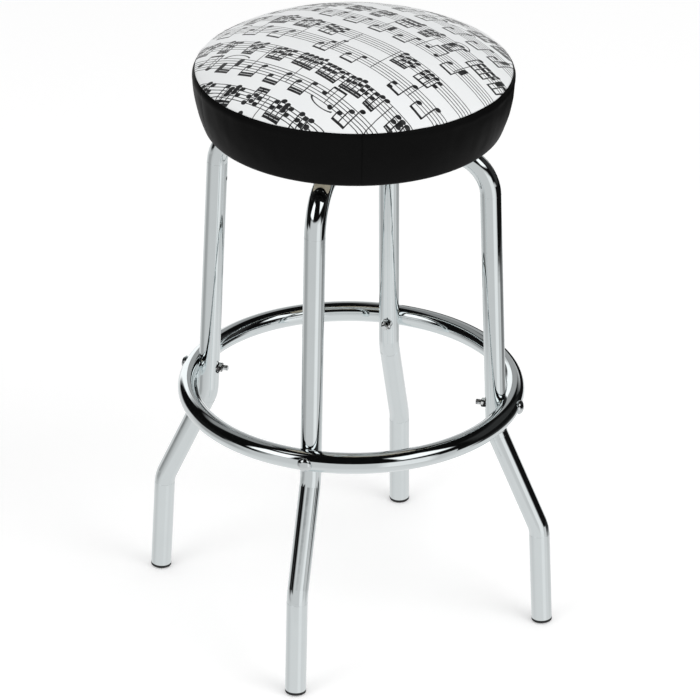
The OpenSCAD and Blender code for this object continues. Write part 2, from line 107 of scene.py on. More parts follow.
# %% Wires that do sums
def plug(tree, socket, value):
    """Feed a socket from a wire, from a node's first output or from a plain value."""
    if isinstance(value, Wire):
        tree.links.new(value.socket, socket)
    elif isinstance(value, bpy.types.Node):
        tree.links.new(value.outputs[0], socket)
    else:
        socket.default_value = value


class Wire:
    def __init__(self, tree, socket):
        self.tree, self.socket = tree, socket

    def sum(self, kind, *others, clamp=False):
        node = self.tree.nodes.new("ShaderNodeMath")
        node.operation, node.use_clamp = kind, clamp
        for socket, value in zip(node.inputs, (self, *others)):
            plug(self.tree, socket, value)
        return Wire(self.tree, node.outputs[0])

    def __add__(self, other):
        return self.sum("ADD", other)

    def __sub__(self, other):
        return self.sum("SUBTRACT", other)

    def __mul__(self, other):
        return self.sum("MULTIPLY", other)

    def __truediv__(self, other):
        return self.sum("DIVIDE", other)

    def opposite(self):
        """1 where this is 0, and 0 where it is 1."""
        return self * -1 + 1

    def between(self, low, high):
        """low where this is 0, and high where it is 1."""
        return self * (high - low) + low

    def most(self, other):
        """The larger of two."""
        return self.sum("MAXIMUM", other)

    def over(self, edge):
        """1 above the edge and 0 below it, with no softness."""
        return self.sum("GREATER_THAN", edge)

    def below(self, edge, soft):
        """1 below the edge and 0 above it, softened over a small width."""
        return ((self - edge) / -soft).sum("ADD", 0.5, clamp=True)

    def above(self, edge, soft):
        """0 below the edge and 1 above it, softened over a small width."""
        return self.below(edge, -soft)

    def near(self, place, reach, soft):
        """1 within reach of a place, and 0 outside it."""
        return (self - place).sum("ABSOLUTE").below(reach, soft)

    def from_whole(self):
        """Distance to the nearest whole number."""
        return ((self + 0.5).sum("FRACT") - 0.5).sum("ABSOLUTE")


print("a wire can", [name for name in vars(Wire) if not name.startswith("_")])

# %% Nodes that wires run through
def feed(tree, node, **inputs):
    """Feed a node's inputs by name. An underscore stands for a space."""
    for name, value in inputs.items():
        plug(tree, node.inputs[name.replace("_", " ")], value)


def node_of(tree, kind, **inputs):
    node = tree.nodes.new(kind)
    feed(tree, node, **inputs)
    return node


def in_order(tree, kind, *values):
    """A node whose inputs are fed in their order."""
    node = tree.nodes.new(kind)
    for socket, value in zip(node.inputs, values):
        plug(tree, socket, value)
    return node


def split(tree, vector):
    return [Wire(tree, out) for out in in_order(tree, "ShaderNodeSeparateXYZ", vector).outputs]


def join(tree, x, y, z):
    return Wire(tree, in_order(tree, "ShaderNodeCombineXYZ", x, y, z).outputs[0])


def blended(tree, share, first, second):
    """Colour or grey between two others."""
    node = tree.nodes.new("ShaderNodeMix")
    node.data_type = "RGBA"
    plug(tree, node.inputs[0], share)
    plug(tree, node.inputs[6], first)
    plug(tree, node.inputs[7], second)
    return Wire(tree, node.outputs[2])


def grey(level):
    return (level, level, level, 1)


print("formula helpers ready")

# %% [markdown]
# ## Studio
# Chrome has no colour of its own, so it needs something to mirror. The real studio was a dark
# room with a pale floor that curved up behind the stool, a pale wall behind the camera and two
# softboxes. Their shapes run as white and black streaks down the tubes. The world shows that room
# to reflections only, painted patch over patch, and everything else sees an even white sky.

# %% World that the chrome mirrors
DEGREE = math.pi / 180
SKY_LEVEL = 0.68
ROOM_LEVEL = 0.004
ALL_ROUND = 400
GROUND = -200
# Azimuth, half width and softness, then low and high edge and their softness, all in degrees,
# and last the brightness
STUDIO = [
    (0, ALL_ROUND, 1, GROUND, -6, 8, 0.68),     # floor
    (-85, 85, 10, GROUND, 1, 5, 0.6),           # floor near the camera
    (-80, 50, 14, GROUND, 18.5, 4, 0.63),       # wall behind the camera
    (-38, 17, 8, -33, 12, 6, 0.88),             # lit part of that wall
    (38, 26, 12, -26, 40, 8, 0.03),             # black screen on the right
    (190, 22, 16, -34, -11, 6, 0.4),            # shaded floor on the left
    (187, 17, 12, -9, 14, 6, 0.01),             # black screen on the left
    (104, 29, 12, GROUND, 15, 18, 0.86),        # floor curving up behind the stool
    (124, 10, 4, -9, 32, 8, 1.1),               # lit strip of it
    (100, 13, 5, 13, 43, 6, 0.36),              # grey wall above it
    (-130, 15, 4, 21, 50, 4, 1.25),             # left softbox
    (-22, 20, 5, 29, 62, 5, 1.2),               # right softbox
    (134, 24, 10, 40, 62, 5, 0.26),             # ceiling behind
    (-150, 8, 3, 62, 72, 5, 1.0),               # skylight
]


def make_world():
    world = bpy.data.worlds.new("studio")
    bpy.context.scene.world = world
    world.use_nodes = True
    tree = world.node_tree
    tree.nodes.clear()
    x, y, z = split(tree, Wire(tree, node_of(tree, "ShaderNodeTexCoord").outputs["Generated"]))
    azimuth = y.sum("ARCTAN2", x) / DEGREE
    elevation = z.sum("ARCSINE") / DEGREE
    room = ROOM_LEVEL
    for turn, half, soft, low, high, soft_rise, level in STUDIO:
        # The short way round from the patch's middle, from 0 to 180 degrees
        away = ((azimuth - turn + 540).sum("MODULO", 360) - 180).sum("ABSOLUTE")
        patch = away.below(half, soft) * elevation.below(high, soft_rise)
        patch = patch * (elevation * -1).below(-low, soft_rise)
        room = patch * level + patch.opposite() * room
    rays = node_of(tree, "ShaderNodeLightPath")
    mirrored = Wire(tree, rays.outputs["Is Glossy Ray"])
    seen = Wire(tree, rays.outputs["Is Camera Ray"])
    strength = mirrored * room + mirrored.opposite() * seen.between(SKY_LEVEL, 1)
    light = node_of(tree, "ShaderNodeBackground", Color=grey(1), Strength=strength)
    in_order(tree, "ShaderNodeOutputWorld", light)


make_world()
print("patches in the studio", len(STUDIO))

# %% [markdown]
# The floor is a large pale disc, which the camera sees nearly white with a soft shadow. Its
# reflection is the world's lowest patch, so the disc itself is hidden from reflections. It has
# one side only, so that a camera below it sees the stool's underside.

# %% Floor
FLOOR_RADIUS = 9
FLOOR_SIDES = 96
FLOOR_SEEN = 0.93
FLOOR_GLOW = 0.26


def empty_material(name):
    material = bpy.data.materials.new(name)
    material.use_nodes = True
    material.node_tree.nodes.clear()
    return material, material.node_tree


def pale_floor():
    material, tree = empty_material("pale_floor")
    seen = Wire(tree, node_of(tree, "ShaderNodeLightPath").outputs["Is Camera Ray"])
    below = Wire(tree, node_of(tree, "ShaderNodeNewGeometry").outputs["Backfacing"])
    matte = node_of(tree, "ShaderNodeBsdfDiffuse", Color=grey(FLOOR_SEEN))
    glow = node_of(tree, "ShaderNodeEmission", Color=grey(1), Strength=seen * FLOOR_GLOW)
    both = in_order(tree, "ShaderNodeAddShader", matte, glow)
    clear = node_of(tree, "ShaderNodeBsdfTransparent")
    one_sided = in_order(tree, "ShaderNodeMixShader", below, both, clear)
    in_order(tree, "ShaderNodeOutputMaterial", one_sided)
    return material


def make_floor():
    mesh = bpy.data.meshes.new("floor")
    shape = bmesh.new()
    bmesh.ops.create_circle(shape, cap_ends=True, segments=FLOOR_SIDES, radius=FLOOR_RADIUS)
    shape.to_mesh(mesh)
    shape.free()
    mesh.materials.append(pale_floor())
    floor = put("floor", mesh)
    floor.visible_glossy = False


make_floor()
print("floor radius", FLOOR_RADIUS, "m")

# %% [markdown]
# The world is endlessly far away, so the tubes mirror it alike at every height. In the photograph
# their right edges are black near the seat and paler further down, as where a dark card stands
# close by, and near the floor they mirror an even, brighter patch of floor. A bent card and a disc
# give both. Only reflections see them, and their edges fade into the world's own room. The disc
# lets part of that room through, so that the tubes keep their streaks.

# %% Sheet that only reflections see
def arc(radius, height, start, end, steps):
    """Points on an arc about the stool's axis, from one azimuth to another in degrees."""
    turns = [(start + (end - start) * i / steps) * DEGREE for i in range(steps + 1)]
    return [(radius * math.cos(turn), radius * math.sin(turn), height) for turn in turns]


def mirrored_sheet(name, points, faces, level, cover):
    """A glowing sheet. cover works out how dense it is at x, y and z."""
    material, tree = empty_material(name)
    place = Wire(tree, node_of(tree, "ShaderNodeTexCoord").outputs["Object"])
    clear = node_of(tree, "ShaderNodeBsdfTransparent")
    glow = node_of(tree, "ShaderNodeEmission", Color=grey(1), Strength=level)
    faded = in_order(tree, "ShaderNodeMixShader", cover(*split(tree, place)), clear, glow)
    in_order(tree, "ShaderNodeOutputMaterial", faded)
    sheet = put_mesh(name, points, faces=faces)
    sheet.data.materials.append(material)
    sheet.visible_camera = False
    sheet.visible_diffuse = False
    sheet.visible_shadow = False


print("sheet helpers ready")

# %% Dark card
CARD_R = 1.25
CARD_TOP = 0.5
CARD_FADE = 0.05
CARD_LEVEL = 0.006
CARD_FROM, CARD_TO = -10, 100
CARD_STEPS = 22


def card_cover(x, y, z):
    """Dense all over, and fading out just above the floor."""
    return (z / CARD_FADE).sum("MINIMUM", 1)


card_foot = arc(CARD_R, 0, CARD_FROM, CARD_TO, CARD_STEPS)
card_head = arc(CARD_R, CARD_TOP, CARD_FROM, CARD_TO, CARD_STEPS)
card_faces = [(i, i + 1, CARD_STEPS + i + 2, CARD_STEPS + i + 1) for i in range(CARD_STEPS)]
mirrored_sheet("dark_card", card_foot + card_head, card_faces, CARD_LEVEL, card_cover)
print("dark card", CARD_R, "m away and", CARD_TOP, "m tall")

# %% Lit floor
LIT_R = 0.55
LIT_FADE = 0.2
LIT_LEVEL = 0.8
LIT_SHARE = 0.6
LIT_HEIGHT = 0.0005
LIT_SIDES = 36


def lit_cover(x, y, z):
    """An even share in the middle, fading out at the edge."""
    return (x * x + y * y).sum("SQRT").below(LIT_R, LIT_FADE) * LIT_SHARE


lit_edge = arc(LIT_R + LIT_FADE, LIT_HEIGHT, 0, 360, LIT_SIDES)[:-1]
mirrored_sheet("lit_floor", lit_edge, [tuple(range(LIT_SIDES))], LIT_LEVEL, lit_cover)
print("lit floor to", LIT_R, "m from the middle")

# %% [markdown]
# Two soft area lamps stand where the softboxes are. They shape the seat and leave the chrome
# to the world, so they are hidden from reflections.

# %% Lamps
# Azimuth and elevation in degrees, distance and size in metres, and power in watts
LAMPS = [("key", -125, 42, 3.2, 1.6, 14), ("fill", -20, 45, 3.2, 2.0, 26)]
LAMPS_AIM = Vector((0, 0, 0.45))


def make_lamp(name, turn, rise, distance, size, power):
    data = bpy.data.lights.new(name, "AREA")
    data.shape, data.size, data.energy = "DISK", size, power
    flat = math.cos(rise * DEGREE)
    way = Vector((math.cos(turn * DEGREE) * flat, math.sin(turn * DEGREE) * flat, math.sin(rise * DEGREE)))
    lamp = put(name, data)
    lamp.location = LAMPS_AIM + way * distance
    lamp.rotation_euler = way.to_track_quat("Z", "Y").to_euler()
    lamp.visible_glossy = False


for lamp_facts in LAMPS:
    make_lamp(*lamp_facts)
bpy.context.scene.view_settings.view_transform = "Standard"
print("lamps", [facts[0] for facts in LAMPS])

# %% [markdown]
# ## Finishes of the metal and plastic
# Each finish is a small tree around one Principled shader. Object coordinates carry the
# patterns, because every piece has its place in its mesh.

# %% Start of a finish
def finish(name, **sockets):
    """A material, its tree, its shader and the place on the piece."""
    material = bpy.data.materials.new(name)
    material.use_nodes = True
    tree = material.node_tree
    shader = tree.nodes["Principled BSDF"]
    feed(tree, shader, **sockets)
    place = Wire(tree, node_of(tree, "ShaderNodeTexCoord").outputs["Object"])
    return material, tree, shader, place


def noise_of(tree, place, scale, detail=3.0, rough=0.5):
    node = node_of(tree, "ShaderNodeTexNoise", Vector=place, Scale=scale, Detail=detail, Roughness=rough)
    return Wire(tree, node.outputs["Fac"])


def pebbles_of(tree, place, scale):
    """The texture of cells of a pebbled or crystalline surface."""
    return node_of(tree, "ShaderNodeTexVoronoi", Vector=place, Scale=scale)


def bump_of(tree, shader, height, distance, strength=1.0):
    bump = node_of(tree, "ShaderNodeBump", Height=height, Strength=strength, Distance=distance)
    feed(tree, shader, Normal=bump)


print("finish helpers ready")

# %% [markdown]
# The tubes, bolts, balls and glides are bright chrome. Its colour is a little cold, and faint
# smudges change its gloss. A very low ripple, as polishing leaves, bends the streaks it mirrors.

# %% Chrome
SMUDGED_COLOUR = 0.95
CLEAN_ROUGH = 0.6


def chrome(name, colour, rough, ripple):
    """rough scales the gloss, and ripple is the depth of the surface's waves in metres."""
    material, tree, shader, place = finish(name, Metallic=1.0)
    clean = (*colour, 1)
    smudged = (*[c * SMUDGED_COLOUR for c in colour], 1)
    smudge = noise_of(tree, place, scale=9, detail=4)
    feed(tree, shader, Base_Color=blended(tree, noise_of(tree, place, scale=30), clean, smudged),
         Roughness=(smudge + CLEAN_ROUGH) * rough)
    bump_of(tree, shader, noise_of(tree, place, scale=55, detail=2), ripple)
    return material


tube_chrome = chrome("tube_chrome", (0.83, 0.88, 0.89), 0.03, 0.00005)
bolt_chrome = chrome("bolt_chrome", (0.77, 0.8, 0.81), 0.08, 0.00004)
print("chrome", tube_chrome.name, bolt_chrome.name)

# %% [markdown]
# Nobody wipes the nuts behind the ring, so they keep dark oily patches between bright faces. The same
# patches are painted shade in the threads and round the nut. Noise with a narrow threshold parts the
# two, and dulls the dark part.

# %% Chrome with grime and painted shade
OIL_AND_SHADE_ROUGH = 0.22
BRIGHT_ROUGH = 0.08


def grime_and_shade_chrome():
    material, tree, shader, place = finish("grime_and_shade_chrome", Metallic=1.0)
    # Where this is 0 the base colour is near black: partly oily grime, partly painted shade in the threads
    # and round the nut
    bright = noise_of(tree, place, scale=260, detail=3, rough=0.6).above(0.5, 0.08)
    feed(tree, shader, Base_Color=blended(tree, bright, grey(0.03), (0.92, 0.93, 0.93, 1)),
         Roughness=bright.between(OIL_AND_SHADE_ROUGH, BRIGHT_ROUGH))
    bump_of(tree, shader, noise_of(tree, place, scale=420, detail=2), 0.00008)
    return material


nut_chrome = grime_and_shade_chrome()
print("grime and painted shade finish", nut_chrome.name)

# %% [markdown]
# The hidden steel has a coat of zinc, whose crystals show as a fine spangle. The rims at the feet
# are moulded plastic with a slight grain. The seat board is plywood, with its grain along X and
# thin plies on its edge.

# %% Zinc
def zinc():
    material, tree, shader, place = finish("zinc_plate", Metallic=1.0)
    spangle = Wire(tree, pebbles_of(tree, place, 180.0).outputs["Color"])
    tone = split(tree, spangle)[0]
    cloudy = tone * 0.5 + noise_of(tree, place, scale=12) * 0.5
    feed(tree, shader, Base_Color=blended(tree, cloudy, (0.5, 0.51, 0.5, 1), (0.68, 0.68, 0.66, 1)),
         Roughness=tone.between(0.3, 0.45))
    bump_of(tree, shader, noise_of(tree, place, scale=400, detail=2), 0.00004)
    return material


zinc_plate = zinc()
print("hidden steel", zinc_plate.name)

# %% Plastic
def black_plastic():
    material, tree, shader, place = finish("moulded_black_plastic", Specular_IOR_Level=0.4)
    grain = noise_of(tree, place, scale=700, detail=2)
    feed(tree, shader, Base_Color=blended(tree, grain, grey(0.012), grey(0.03)),
         Roughness=grain.between(0.4, 0.6))
    bump_of(tree, shader, grain, 0.00005)
    return material


rim_plastic = black_plastic()
print("foot plastic", rim_plastic.name)

# %% Plywood
PLY_WAVES = 2600.0      # radians in a metre, for plies 2.4 mm thick


def plywood():
    material, tree, shader, place = finish("plywood", Specular_IOR_Level=0.3)
    x, y, z = split(tree, place)
    grain = noise_of(tree, join(tree, x * 1.0, y * 9.0, z * 9.0), scale=14, detail=6, rough=0.65)
    pores = noise_of(tree, join(tree, x * 2.0, y * 40.0, z * 40.0), scale=20, detail=3, rough=0.6)
    plies = (z * PLY_WAVES).sum("SINE") * 0.5 + 0.5
    ramp = in_order(tree, "ShaderNodeValToRGB", grain * 0.7 + pores * 0.2 + plies * 0.1)
    dark, pale = ramp.color_ramp.elements
    dark.position, dark.color = 0.3, (0.3, 0.25, 0.18, 1)
    pale.position, pale.color = 0.62, (0.58, 0.5, 0.38, 1)
    feed(tree, shader, Base_Color=ramp, Roughness=grain.between(0.55, 0.75))
    bump_of(tree, shader, pores, 0.0002)
    return material


board_plywood = plywood()
print("board", board_plywood.name)

# %% Give each node its finish
FINISHES = {
    tube_chrome: ["leg_front", "leg_right", "leg_back", "leg_left", "foot_ring"],
    bolt_chrome: ["ring_bolts", "bearing_balls", "glide_front", "glide_right", "glide_back", "glide_left"],
    nut_chrome: ["ring_lock_washers", "ring_nuts"],
    zinc_plate: ["tee_nuts", "seat_screws", "swivel_top_plate", "swivel_bottom_plate", "pivot_rivet",
                 "ball_cage", "leg_bolts", "leg_washers", "leg_nuts", "cover_staples"],
    rim_plastic: ["glide_plug_front", "glide_plug_right", "glide_plug_back", "glide_plug_left"],
    board_plywood: ["seat_board"],
}
for material, names in FINISHES.items():
    for name in names:
        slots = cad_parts[name].data.materials
        slots.clear()
        slots.append(material)
print("finished nodes", sum(len(names) for names in FINISHES.values()))

# %% [markdown]
# ## Black vinyl
# Coated fabric has a soft sheen and a fine pebbled grain. A texture of cells makes the pebbles, and
# slow noise varies the gloss a little, as handling does. The band is sewn from five strips, and
# the photograph shows two of their upright joints as fine lines.

# %% Band finish
BAND_JOINTS = 5
FIRST_JOINT = -72
JOINT_HALF = 0.0009
JOINT_DEPTH = 0.0005
PEBBLE_DEPTH = 0.00004
ONE_METRE = 1.0


def joint_lines(tree, place):
    """1 along each upright joint of the band."""
    x, y, _ = split(tree, place)
    turn = (y.sum("ARCTAN2", x) / DEGREE - FIRST_JOINT) / (360 / BAND_JOINTS)
    away = turn.from_whole() * (2 * math.pi / BAND_JOINTS)
    return (away * (x * x + y * y).sum("SQRT")).below(JOINT_HALF, JOINT_HALF)


def black_vinyl():
    material, tree, shader, place = finish("black_vinyl", Specular_IOR_Level=0.04)
    pebbles = pebbles_of(tree, place, 900.0)
    pebbles.feature = "SMOOTH_F1"
    joints = joint_lines(tree, place)
    height = Wire(tree, pebbles.outputs["Distance"]) * PEBBLE_DEPTH - joints * JOINT_DEPTH
    haze = noise_of(tree, place, scale=14, detail=3)
    feed(tree, shader, Base_Color=blended(tree, haze - joints, grey(0.003), grey(0.006)),
         Roughness=haze.between(0.36, 0.5))
    bump_of(tree, shader, height, ONE_METRE)
    return material


band_vinyl = black_vinyl()
print("band material", band_vinyl.name)

# %% [markdown]
# ## Printed vinyl
# The top is printed with rows of music, in pairs of staves that share their bar lines. No tune is
# copied: a rule with seeded noise places the notes. Upper staves get dense groups joined by thick
# beams, and lower staves get sparse pairs. Lengths here are in millimetres on the seat's plan,
# with u along a stave and v across all of them.

# %% Rule of the staves
MM = 1000
STAVE_TURN = -26.5 * DEGREE
STAVE_SAG = 0.00032
STAVE_WAVE = 8
SYSTEM_PITCH = 80
STAVE_GAP = 37
LINE_GAP = 4.4
LINE_HALF = 0.55
BAR = 61
BAR_AT = 1
BAR_HALF = 0.55
SOFT = 0.3
# Where the seat's middle lies on the endless print
MIDDLE_U, MIDDLE_V = 600, 620


def stave_frame(tree, place):
    """u, distances from the stave's and its pair's middle, 1 if it is lower, and its number."""
    x, y, _ = split(tree, place)
    along = x * (MM * math.cos(STAVE_TURN)) + y * (MM * math.sin(STAVE_TURN))
    rise = y * (MM * math.cos(STAVE_TURN)) - x * (MM * math.sin(STAVE_TURN))
    wave = noise_of(tree, place, scale=5, detail=1) * STAVE_WAVE
    v = rise + along * along * STAVE_SAG + wave + MIDDLE_V
    system = (v / SYSTEM_PITCH).sum("FLOOR")
    in_system = v - system * SYSTEM_PITCH - SYSTEM_PITCH / 2
    lower = in_system.sum("LESS_THAN", 0)
    across = in_system + (lower - 0.5) * STAVE_GAP
    return along + MIDDLE_U, across, in_system, lower, system * 2 + lower


def lines_and_bars(u, across, in_system):
    half = LINE_GAP * 2 + LINE_HALF
    from_line = (across / LINE_GAP).from_whole() * LINE_GAP
    lines = from_line.below(LINE_HALF, SOFT) * across.sum("ABSOLUTE").below(half, SOFT)
    bars = ((u / BAR).sum("FRACT") * BAR).near(BAR_AT, BAR_HALF, SOFT)
    return lines.most(bars * in_system.near(0, STAVE_GAP / 2 + half, SOFT))


print("a pair of staves every", SYSTEM_PITCH, "mm")

# %% [markdown]
# A note is an oval head, a stem and a share of its group's beam, and some groups have a bow over
# them. du is the distance from a note's middle along the stave, dq the one across it and away
# from the beam, and along the distance from the start of the group.

# %% Parts of a note
HEAD_LONG, HEAD_SHORT = 3.7, 2.9
LEAN_COS, LEAN_SIN = 0.93, 0.36
HEAD_SOFT = 0.12
BEAM_HALF, BEAM_OVERHANG = 1.6, 0.6
TWIN_GAP, TWIN_HALF = 3.6, 1.5
BOW_HIGH = 8
BOW_HALF, BOW_SOFT = 0.08, 0.05
# A random draw above these gives a note another head, or a group its second beam
CHORD_FROM_UPPER, CHORD_FROM_LOWER = 0.2, 0.8
CLUSTER_FROM = 0.88
TWIN_FROM_UPPER, TWIN_FROM_LOWER = 0.2, 0.85


def note_head(du, dq):
    """An oval that leans a little."""
    long = (du * LEAN_COS + dq * LEAN_SIN) / HEAD_LONG
    short = (dq * LEAN_COS - du * LEAN_SIN) / HEAD_SHORT
    return (long * long + short * short).sum("SQRT").below(1, HEAD_SOFT)


def heads(du, dq, lower, stack):
    """A note's head. Some notes have another one two lines off, and a few have one a line off."""
    chord = stack.over(lower.between(CHORD_FROM_UPPER, CHORD_FROM_LOWER))
    ink = note_head(du, dq).most(note_head(du, dq + LINE_GAP * 2) * chord)
    return ink.most(note_head(du, dq + LINE_GAP) * stack.over(CLUSTER_FROM))


def beams(along, from_beam, first, last, lower, twin):
    """A thick beam from the first stem to the last, and a second one on some groups."""
    spans = (along - first + BEAM_OVERHANG).over(0) * (last - along + BEAM_OVERHANG).over(0)
    second = twin.over(lower.between(TWIN_FROM_UPPER, TWIN_FROM_LOWER))
    both = from_beam.near(0, BEAM_HALF, SOFT).most(from_beam.near(TWIN_GAP, TWIN_HALF, SOFT) * second)
    return both * spans


def bow(along, q, half):
    """Half an ellipse over a group whose half length is given."""
    bow_u = (along - half) / half
    bow_q = (q - BOW_HIGH) / BOW_HIGH
    return (bow_u * bow_u + bow_q * bow_q).sum("SQRT").near(1, BOW_HALF, BOW_SOFT) * bow_q.over(0)


print("note heads", HEAD_LONG * 2, "by", HEAD_SHORT * 2, "mm")

# %% [markdown]
# Seeded noise gives each group of notes its size, its side of the stave, its level and the tilt
# of its beam, and gives each note a small jump. Some groups get a bow and a few stay empty.

# %% Rule of the notes
GROUP = 38
GROUP_START = 3
GROUP_SLIP = 14.3
DENSE_PITCH = 7.4
PAIR_PITCH = 19
STEM_SIDE, STEM_HALF = 2.9, 0.8
BEAM_AT, BEAM_MIDDLE = -16, 14
BEAM_TILT, BEAM_SPREAD = 0.16, 3
# The fewest notes of a group, and how many more a draw may add
UPPER_NOTES, LOWER_NOTES = 3, 2
UPPER_MORE, LOWER_MORE = 2.95, 1.25
MOST_NOTES = 5
# In half line gaps from the stave's middle, away from the beam
UPPER_STEPS, LOWER_STEPS = 3, -1.5
LOWER_RUN = 4.4
JUMP_STEPS, LEVEL_STEPS = 2.4, 2
# Draws from which stems turn up or a group gets a bow, and up to which it stays empty
STEM_UP_FROM, BOW_FROM, EMPTY_TO = 0.86, 0.86, 0.08
GROUP_SEED, BEAM_SEED, NOTE_SEED = 3.0, 11.0, 23.0


def random_of(tree, a, b, seed):
    """Three random shares for a pair of whole numbers."""
    draw = node_of(tree, "ShaderNodeTexWhiteNoise", Vector=join(tree, a, b, seed))
    return split(tree, Wire(tree, draw.outputs["Color"]))


def notes(tree, u, across, lower, stave):
    shifted = u + stave * GROUP_SLIP
    group = (shifted / GROUP).sum("FLOOR")
    along = shifted - group * GROUP - GROUP_START
    size, turn_up, level = random_of(tree, group, stave, GROUP_SEED)
    tilt, twin, rest = random_of(tree, group, stave, BEAM_SEED)
    more = (size * lower.between(UPPER_MORE, LOWER_MORE)).sum("FLOOR")
    count = more + lower.between(UPPER_NOTES, LOWER_NOTES)
    sparse_pitch = (count - LOWER_NOTES) * (-PAIR_PITCH / 2) + PAIR_PITCH
    pitch = lower.opposite() * DENSE_PITCH + lower * sparse_pitch
    way = turn_up.over(STEM_UP_FROM) * 2 - 1
    q = across * way * -1

    slot = (along / pitch).sum("FLOOR").most(0).sum("MINIMUM", count - 1)
    jump, stack, _ = random_of(tree, group * MOST_NOTES + slot, stave, NOTE_SEED)
    steps = lower.between(UPPER_STEPS, LOWER_STEPS) + lower * slot * LOWER_RUN
    steps = steps + (jump - 0.5) * JUMP_STEPS + (level - 0.5) * LEVEL_STEPS
    note_q = steps.sum("ROUND") * (LINE_GAP / 2)
    beam_q = (along - BEAM_MIDDLE) * (tilt - 0.5) * BEAM_TILT + BEAM_AT
    beam_q = beam_q + (level - 0.5) * BEAM_SPREAD

    du = along - (slot + 0.5) * pitch
    side = way * STEM_SIDE
    in_stem = (q - beam_q).over(0) * (note_q - q).over(0)
    first, last = pitch * 0.5 + side, (count - 0.5) * pitch + side
    ink = heads(du, q - note_q, lower, stack).most((du - side).near(0, STEM_HALF, SOFT) * in_stem)
    ink = ink.most(beams(along, q - beam_q, first, last, lower, twin))
    ink = ink.most(bow(along, q, count * pitch * 0.5) * rest.over(BOW_FROM))
    return ink * rest.over(EMPTY_TO)


print("a group of notes every", GROUP, "mm")

# %% Top finish
def printed_vinyl():
    material, tree, shader, place = finish("printed_vinyl", Specular_IOR_Level=0.25)
    u, across, in_system, lower, stave = stave_frame(tree, place)
    ink = lines_and_bars(u, across, in_system).most(notes(tree, u, across, lower, stave))
    cloudy = noise_of(tree, place, scale=7, detail=3)
    paper = blended(tree, cloudy, (0.84, 0.86, 0.87, 1), (0.93, 0.94, 0.94, 1))
    worn = noise_of(tree, place, scale=160, detail=2).between(0.94, 1.02)
    feed(tree, shader, Base_Color=blended(tree, ink * worn, paper, (0.006, 0.006, 0.007, 1)),
         Roughness=cloudy.between(0.3, 0.4))
    bump_of(tree, shader, pebbles_of(tree, place, 1100.0), 0.00003, 0.4)
    return material


top_vinyl = printed_vinyl()
print("top material nodes", len(top_vinyl.node_tree.nodes))

# %% [markdown]
# ## Cushion
# The cushion is foam under a tight vinyl cover: a crowned printed panel, sewn to a black band
# that bulges at the seam and tapers to the board. Its profile was measured on the photograph.
# Turning that profile gives clean rings of faces, which a sewn seam can follow.

# %% Sizes of the cover
SEAM_R = 0.1875
WIDEST_R = 0.1905
BASE_R = 0.178
SIDE_LEAN = 22 * DEGREE
ROLL_R = 0.009
ROLL_END = 150 * DEGREE
CREASE_SHARE = 0.13
CROWN_H = 0.044
CROWN_POWER = 2.6
HEM_W = 0.017
HEM_EDGE = 0.004
COVER_T = 0.0012
SEAM_ROLL = 0.0014
SEAM_ROLL_W = 0.004
crown_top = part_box("seat_top_panel")[1].z
seam_z = crown_top - CROWN_H
board_low, board_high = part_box("seat_board")
under_z = board_low.z - COVER_T
hem_r = board_high.x - HEM_W
roll_mid = (BASE_R - ROLL_R * math.cos(SIDE_LEAN), board_low.z)
side_h = seam_z - board_low.z + ROLL_R * math.sin(SIDE_LEAN)
side_power = side_h * math.tan(SIDE_LEAN) / (WIDEST_R - BASE_R)
print("seam at", round(seam_z, 4), "side", round(side_h, 4), "m high")

# %% Profile of the cover
CROWN_STEPS, BAND_STEPS, ROLL_STEPS = 30, 28, 14
# Powers that draw the rows of faces together towards the seam
CROWN_SPACING, BAND_SPACING = 1.5, 1.3


def crown_line():
    """Radius and height from the middle of the top to the seam."""
    line = []
    for i in range(CROWN_STEPS + 1):
        r = SEAM_R * (1 - (1 - i / CROWN_STEPS) ** CROWN_SPACING)
        roll = max(0, (r - SEAM_R + SEAM_ROLL_W) / SEAM_ROLL_W) ** 2
        line.append((r, seam_z + CROWN_H * (1 - (r / SEAM_R) ** CROWN_POWER) - SEAM_ROLL * roll))
    return line


def side_line():
    """Radius and height from the seam, down the side and round the soft roll."""
    line = []
    for i in range(1, BAND_STEPS + 1):
        share = (i / BAND_STEPS) ** BAND_SPACING
        crease = max(0, 1 - share / CREASE_SHARE) ** 2
        r = WIDEST_R - (WIDEST_R - BASE_R) * share ** side_power - (WIDEST_R - SEAM_R) * crease
        line.append((r, seam_z - SEAM_ROLL * crease - side_h * share))
    for i in range(1, ROLL_STEPS + 1):
        turn = SIDE_LEAN + (ROLL_END - SIDE_LEAN) * i / ROLL_STEPS
        line.append((roll_mid[0] + ROLL_R * math.cos(turn), roll_mid[1] - ROLL_R * math.sin(turn)))
    return line


def hem_line(roll_end):
    """Radius and height from the end of the roll, in under the board to the hem."""
    corner = roll_end[0] - (under_z - roll_end[1]) * math.tan(math.pi - ROLL_END)
    return [(corner, under_z), (corner - HEM_EDGE, under_z), (hem_r, under_z)]


crown = crown_line()
side = side_line()
band = side + hem_line(side[-1])
print("profile points", len(crown), len(band))

# %% [markdown]
# Both covers are bodies of revolution, so a Geometry Nodes tree turns a drawn profile round the
# seat's axis. It lays out a grid, and each row of the grid takes its place from one point of the
# profile. Merging by distance closes the seam and the pole.

# %% Run a tree and keep its mesh
def settle(thing):
    """Swap a thing's mesh for what its modifiers make of it, and drop them."""
    made = bpy.data.meshes.new_from_object(thing.evaluated_get(bpy.context.evaluated_depsgraph_get()))
    thing.modifiers.clear()
    thing.data = made


def run_tree(thing, tree, values):
    step = thing.modifiers.new(tree.name, "NODES")
    step.node_group = tree
    for socket in tree.interface.items_tree:
        if socket.in_out == "INPUT" and socket.name in values:
            step[socket.identifier] = values[socket.name]
    settle(thing)
    return thing


